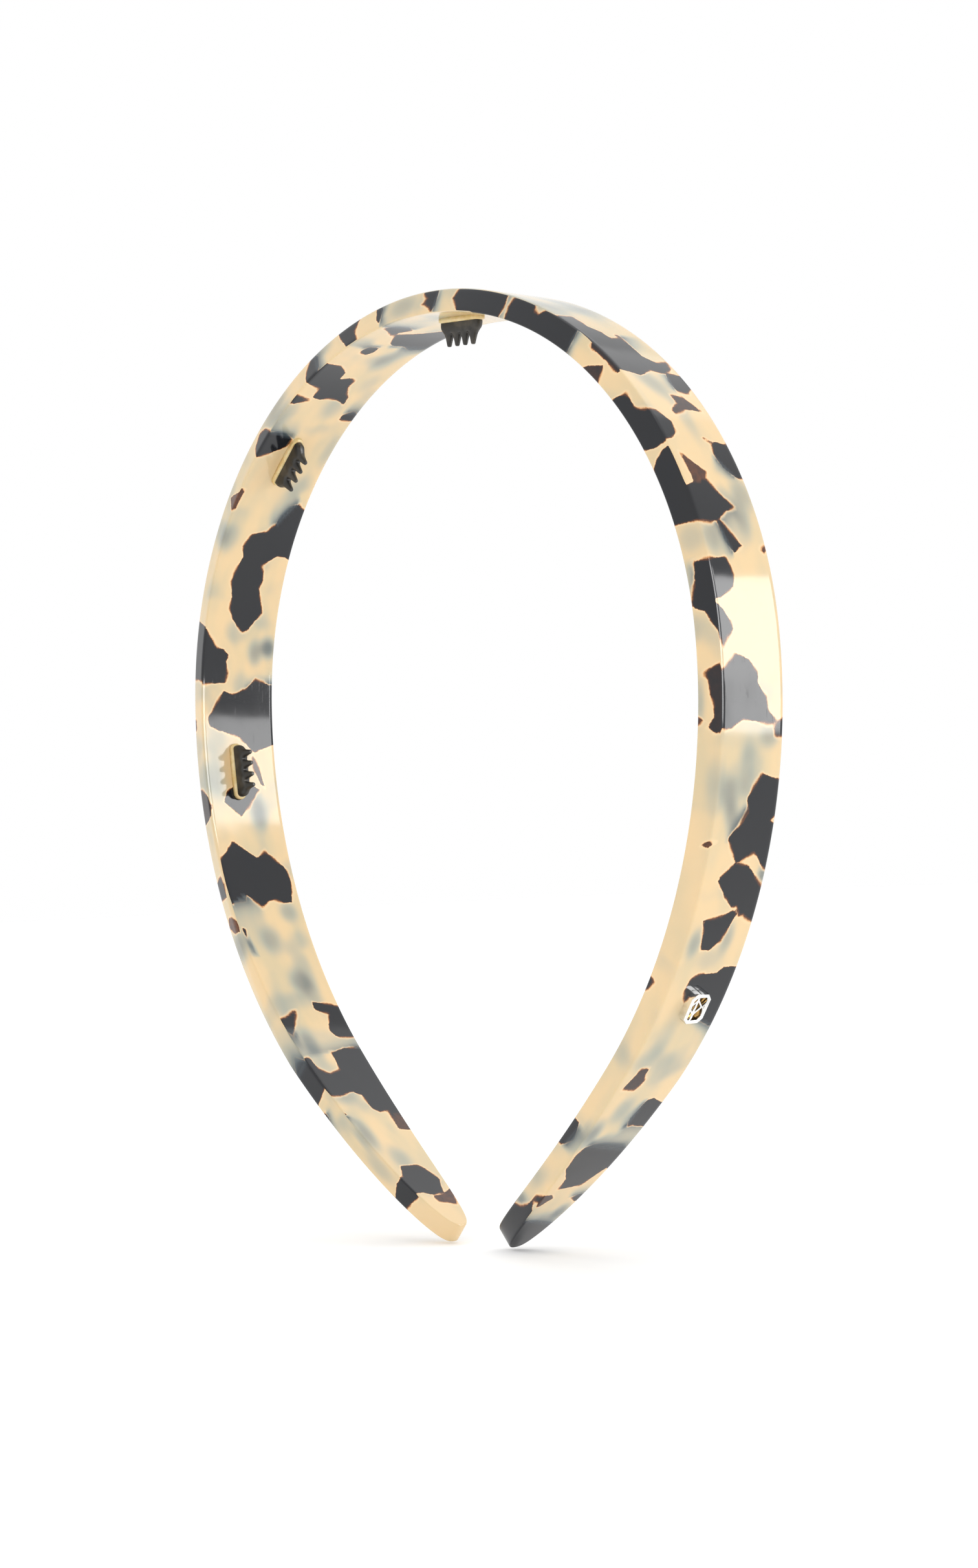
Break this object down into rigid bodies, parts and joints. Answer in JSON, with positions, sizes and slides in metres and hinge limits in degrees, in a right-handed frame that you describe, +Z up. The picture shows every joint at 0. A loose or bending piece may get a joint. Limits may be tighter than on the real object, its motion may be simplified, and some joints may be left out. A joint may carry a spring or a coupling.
{
  "type": "headband",
  "caption": "Spring headband bent from a strip of tortoiseshell acetate, tapering to rounded tips, with moulded grip combs inside the loop and a small metal badge on one leg.",
  "frame": {"origin": "centre of the round that the crown's outer face follows, mid-width of the band, where the wearer's head sits", "axes": "+Z up towards the crown, +X towards the leg with the badge, +Y towards the back rim"},
  "size_m": [0.1222, 0.0148, 0.1466],
  "materials": {
    "acetate": "polished blond tortoiseshell acetate, cream with dark brown and black flakes",
    "cement": "yellowish solvent cement, translucent",
    "comb_plastic": "moulded, semi gloss, very dark olive brown",
    "badge_silver": "polished silver plate",
    "badge_gilt": "dull gilt in the badge's depth"
  },
  "bodies": {
    "left_half": {"band_left": "acetate", "cement_left_upper": "cement", "cement_left_side": "cement", "comb_left_upper": "comb_plastic", "comb_left_side": "comb_plastic"},
    "right_half": {"band_right": "acetate", "cement_crown": "cement", "comb_crown": "comb_plastic", "cement_right_upper": "cement", "cement_right_side": "cement", "comb_right_upper": "comb_plastic", "comb_right_side": "comb_plastic", "badge_frame": "badge_silver", "badge_plate_back": "badge_gilt", "badge_lattice": "badge_silver", "badge_pin_upper": "badge_silver", "badge_pin_lower": "badge_silver"}
  },
  "joints": [
    {"name": "spread", "type": "hinge", "parent": "left_half", "child": "right_half", "pos_m": [0, 0, 0.061], "axis": [0, -1, 0], "range_deg": [0, 28], "stiffness_Nm_per_rad": 0.7}
  ]
}
